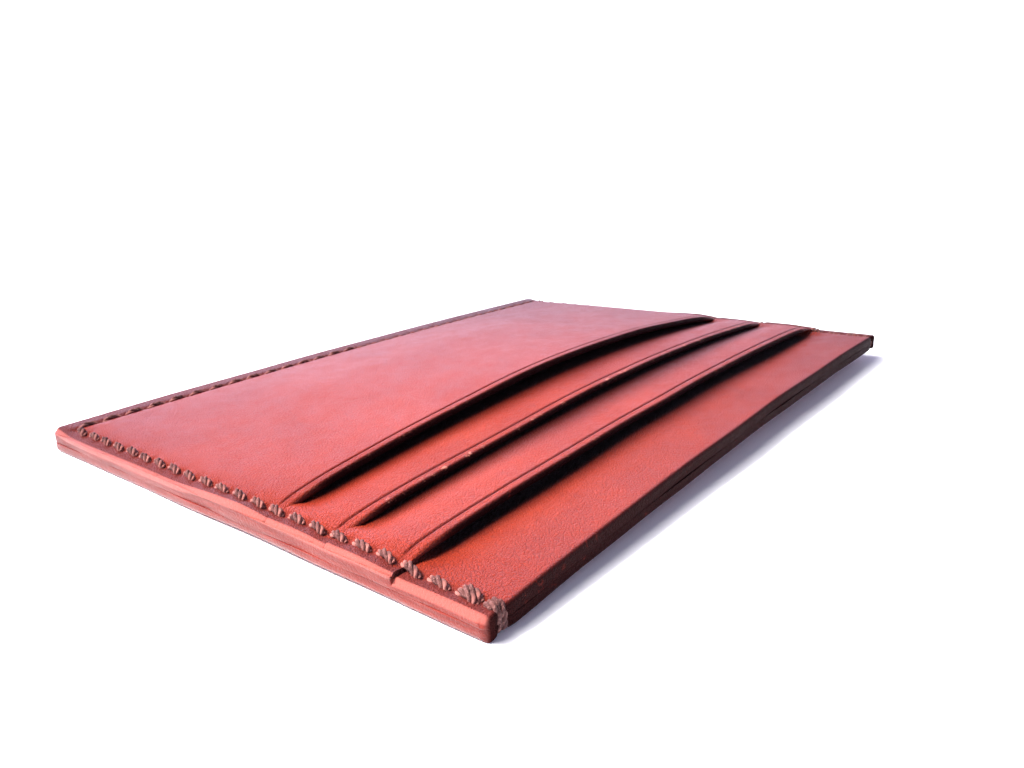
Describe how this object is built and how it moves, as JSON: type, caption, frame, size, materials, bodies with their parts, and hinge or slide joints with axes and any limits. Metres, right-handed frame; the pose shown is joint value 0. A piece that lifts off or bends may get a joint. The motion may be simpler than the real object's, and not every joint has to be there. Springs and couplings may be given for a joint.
{
  "type": "card holder",
  "caption": "Flat hand-sewn leather card holder with stacked card slots in front and a centre pocket between its panels.",
  "frame": {"origin": "middle of the back panel's underside, which is the bottom centre of the box", "axes": "+X along the width, +Y from the sewn bottom edge towards the slot mouths, +Z out of the front, which faces up as the holder lies on its back"},
  "size_m": [0.1, 0.072, 0.0068],
  "materials": {
    "leather": "satin vegetable-tanned leather",
    "thread": "waxed twisted thread"
  },
  "bodies": {
    "root": {"back_panel": "leather", "front_panel": "leather", "upper_pocket": "leather", "middle_pocket": "leather", "front_pocket": "leather", "upper_pocket_thread": "thread", "middle_pocket_thread": "thread", "outer_seam_thread": "thread"}
  },
  "joints": []
}
